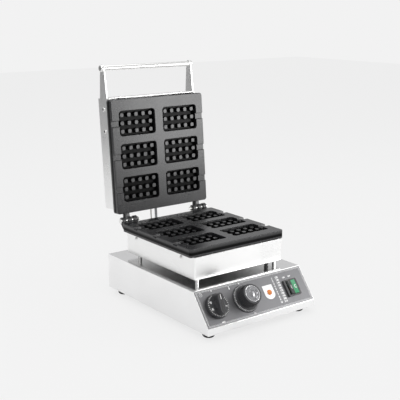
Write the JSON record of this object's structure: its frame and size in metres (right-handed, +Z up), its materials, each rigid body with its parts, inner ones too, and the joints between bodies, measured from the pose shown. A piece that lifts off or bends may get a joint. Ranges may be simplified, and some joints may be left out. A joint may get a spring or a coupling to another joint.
{
  "type": "table-top waffle maker",
  "caption": "Table-top waffle maker with two hinged cast plates, open lid, bar handle and a sloping steel control panel.",
  "frame": {"origin": "on the floor, under the middle of the box around the whole part at rest, with its lid standing open", "axes": "+X to the right as seen from the control panel, +Y from the control panel towards the back, +Z up"},
  "size_m": [0.286, 0.4548, 0.5148],
  "materials": {
    "base_steel": "satin stainless sheet",
    "screw_steel": "bright zinc plated",
    "foot_rubber": "matt black",
    "fascia_print": "metallic grey printed panel",
    "black_plastic": "fine grained black",
    "rocker_green": "glossy translucent green",
    "lamp_amber": "clear amber lens",
    "label_white": "white printed sheet",
    "bright_trim": "polished",
    "shaft_steel": "turned steel",
    "box_steel": "satin stainless sheet",
    "cast_coating": "dark non-stick coating",
    "cap_plastic": "black plugs",
    "gland_plastic": "black nylon",
    "lead_silicone": "grey heat-proof sleeve",
    "heater_steel": "heat-darkened tube",
    "wool_fibre": "pale mineral wool"
  },
  "bodies": {
    "base": {"base_shell": "base_steel", "bottom_plate": "base_steel", "bottom_screws": "screw_steel", "control_fascia": "fascia_print", "earth_lead": "lead_silicone", "foot_screws": "screw_steel", "hinge_nuts": "screw_steel", "hinge_pin_left": "shaft_steel", "hinge_pin_right": "shaft_steel", "hinge_spacers": "shaft_steel", "housing_screws": "screw_steel", "lamp_body": "black_plastic", "lamp_label": "label_white", "lamp_lens": "lamp_amber", "lid_lead": "lead_silicone", "lower_clamp_sheet": "box_steel", "lower_glands": "gland_plastic", "lower_heater": "heater_steel", "lower_housing": "box_steel", "lower_plate": "cast_coating", "lower_wool": "wool_fibre", "mains_gland": "gland_plastic", "rubber_feet": "foot_rubber", "standoff_bolts": "screw_steel", "standoffs": "base_steel", "switch_housing": "black_plastic", "terminal_block": "gland_plastic", "thermostat_body": "black_plastic", "timer_mechanism": "black_plastic", "wiring_bush": "foot_rubber"},
    "lid": {"upper_plate": "cast_coating", "upper_cover": "box_steel", "upper_heater": "heater_steel", "upper_clamp_sheet": "box_steel", "upper_wool": "wool_fibre", "handle_arm_left": "box_steel", "handle_arm_right": "box_steel", "arm_screws": "screw_steel", "handle_tube": "shaft_steel", "handle_plugs": "cap_plastic", "handle_caps": "shaft_steel", "upper_glands": "gland_plastic", "cover_screws": "screw_steel"},
    "timer_knob": {"timer_knob": "black_plastic", "timer_shaft": "shaft_steel"},
    "thermostat_knob": {"thermostat_knob": "black_plastic", "thermostat_shaft": "shaft_steel", "thermostat_cap": "bright_trim"},
    "rocker": {"switch_rocker": "rocker_green"}
  },
  "joints": [
    {"name": "lid_hinge", "type": "hinge", "parent": "base", "child": "lid", "pos_m": [0, 0.13911, 0.1683], "axis": [1, 0, 0], "range_deg": [0, 94.5], "deforming": ["lid_lead", "earth_lead"]},
    {"name": "timer_turn", "type": "hinge", "parent": "base", "child": "timer_knob", "pos_m": [-0.104, -0.19045, 0.05991], "axis": [0, -0.788, 0.6156], "range_deg": [-280, 0]},
    {"name": "thermostat_turn", "type": "hinge", "parent": "base", "child": "thermostat_knob", "pos_m": [-0.03, -0.19045, 0.05991], "axis": [0, -0.788, 0.6156], "range_deg": [-270, 0]},
    {"name": "rocker_tilt", "type": "hinge", "parent": "base", "child": "rocker", "pos_m": [0.097, -0.19293, 0.05804], "axis": [0, 0.6156, 0.788], "range_deg": [-20, 0]}
  ]
}
